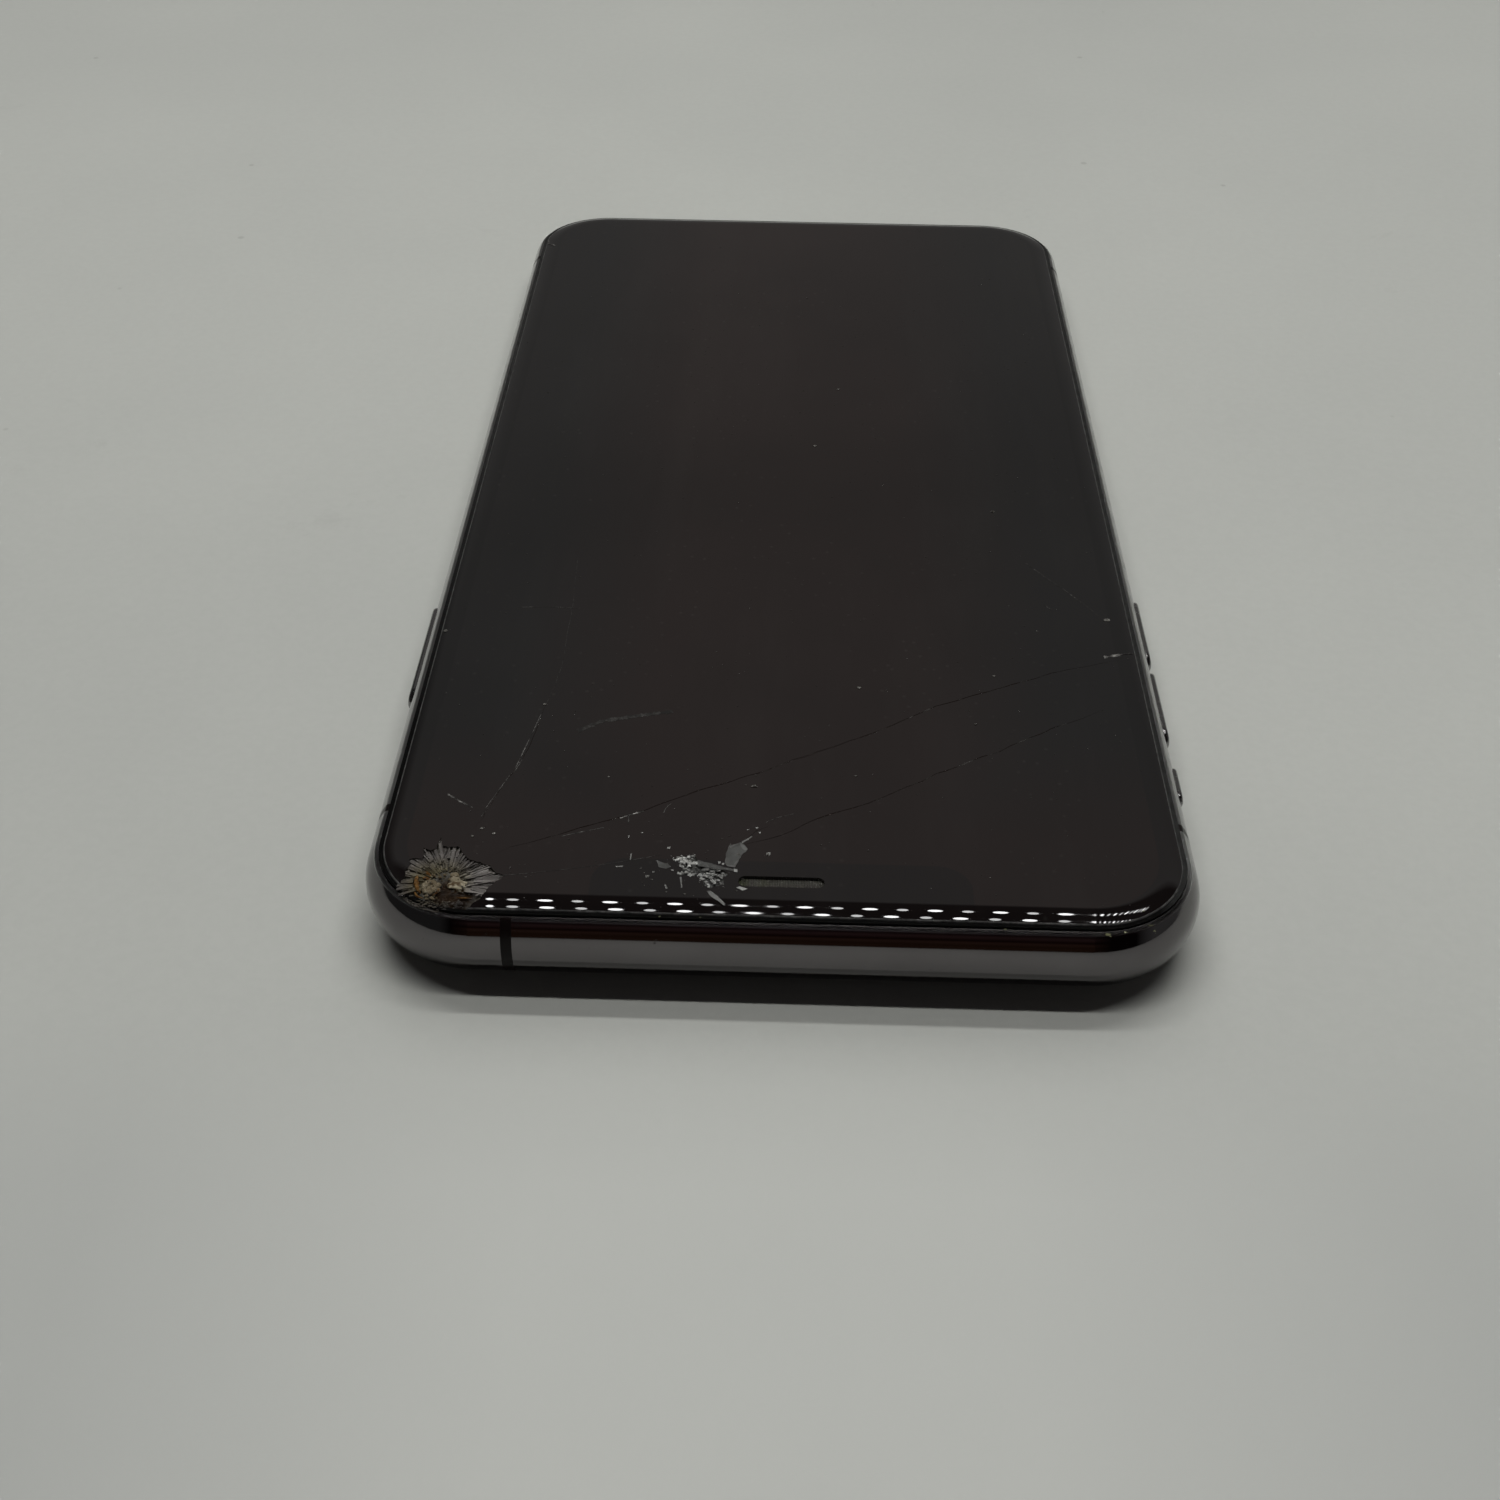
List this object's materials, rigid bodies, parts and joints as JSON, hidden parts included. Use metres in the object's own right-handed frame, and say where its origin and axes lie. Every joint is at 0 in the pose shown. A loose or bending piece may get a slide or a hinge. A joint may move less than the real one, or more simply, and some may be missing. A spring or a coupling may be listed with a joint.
{
  "type": "shattered screen phone",
  "caption": "Slim touch-screen phone with a notched display, steel band and glass back; the cover glass is crushed at one top corner and beside the earpiece, with long cracks.",
  "frame": {"origin": "under the centre of the body, at the height of the camera bump, which is the lowest point of the phone lying face up", "axes": "+Z the way the screen faces, +Y towards the earpiece end, +X towards the side with the side button and the card tray"},
  "size_m": [0.0784, 0.1574, 0.009],
  "materials": {
    "band_steel": "polished dark steel with fine scuffs",
    "button_steel": "polished dark steel",
    "break_plastic": "satin dark plastic",
    "plate_aluminium": "plain sheet",
    "back_glass": "dark gloss",
    "adhesive": "thin bead of adhesive",
    "cover_glass": "gloss, cracked, with dust and grease",
    "crushed_glass": "crushed, with rust and dirt",
    "display": "dark, switched off",
    "sheet_steel": "plain sheet",
    "frame_plastic": "black satin plastic",
    "gasket_rubber": "black foam and adhesive",
    "mesh_steel": "fine woven mesh, dusty",
    "module_plastic": "moulded housing",
    "lens_glass": "coated lens",
    "window_glass": "dark gloss",
    "flash_resin": "clear resin over yellow phosphor",
    "board": "solder mask",
    "chip": "black package",
    "cell_pouch": "black pouch film",
    "tape": "white stretch tape",
    "motor_can": "stamped can",
    "socket_shell": "stamped shell",
    "flex": "amber film",
    "coil_copper": "enamelled wire",
    "screw_steel": "dark coated"
  },
  "bodies": {
    "phone": {"steel_band": "band_steel", "antenna_breaks": "break_plastic", "back_plate": "plate_aluminium", "back_glass": "back_glass", "back_adhesive": "adhesive", "cover_glass": "cover_glass", "corner_shards": "crushed_glass", "slot_shards": "crushed_glass", "display_panel": "display", "display_shield": "sheet_steel", "display_frame": "frame_plastic", "display_gasket": "gasket_rubber", "earpiece_mesh": "mesh_steel", "earpiece_speaker": "module_plastic", "front_camera": "module_plastic", "infrared_camera": "module_plastic", "dot_projector": "module_plastic", "proximity_sensor": "module_plastic", "sensor_bracket": "sheet_steel", "camera_ring": "band_steel", "camera_window": "window_glass", "lens_trims": "screw_steel", "lens_covers": "lens_glass", "wide_camera": "module_plastic", "tele_camera": "module_plastic", "flash_lamp": "flash_resin", "logic_board": "board", "upper_board": "board", "board_spacer": "board", "board_chips": "chip", "board_shield": "sheet_steel", "card_reader": "sheet_steel", "battery_long_cell": "cell_pouch", "battery_short_cell": "cell_pouch", "battery_tapes": "tape", "vibration_motor": "motor_can", "loudspeaker": "module_plastic", "charge_socket": "socket_shell", "charge_flex": "flex", "bottom_microphones": "motor_can", "sound_meshes": "mesh_steel", "charging_coil": "coil_copper", "ring_switch_module": "module_plastic", "side_switch_flex": "flex", "volume_switch_flex": "flex", "connector_cover": "sheet_steel", "bottom_screws": "screw_steel", "board_screws": "screw_steel", "display_flex": "flex"},
    "side_button": {"side_button": "button_steel", "side_button_clips": "sheet_steel"},
    "volume_up": {"volume_up_button": "button_steel", "volume_up_clips": "sheet_steel"},
    "volume_down": {"volume_down_button": "button_steel", "volume_down_clips": "sheet_steel"},
    "ring_switch": {"ring_switch": "button_steel"},
    "card_tray": {"card_tray": "button_steel"}
  },
  "joints": [
    {"name": "side_button_press", "type": "slide", "parent": "phone", "child": "side_button", "axis": [-1, 0, 0], "range_m": [0, 0.0003], "stiffness_N_per_m": 1500},
    {"name": "volume_up_press", "type": "slide", "parent": "phone", "child": "volume_up", "axis": [1, 0, 0], "range_m": [0, 0.0003], "stiffness_N_per_m": 1500},
    {"name": "volume_down_press", "type": "slide", "parent": "phone", "child": "volume_down", "axis": [1, 0, 0], "range_m": [0, 0.0003], "stiffness_N_per_m": 1500},
    {"name": "ring_switch_slide", "type": "slide", "parent": "phone", "child": "ring_switch", "axis": [0, 0, -1], "range_m": [0, 0.0009]},
    {"name": "card_tray_pull", "type": "slide", "parent": "phone", "child": "card_tray", "axis": [1, 0, 0], "range_m": [0, 0.024]}
  ]
}
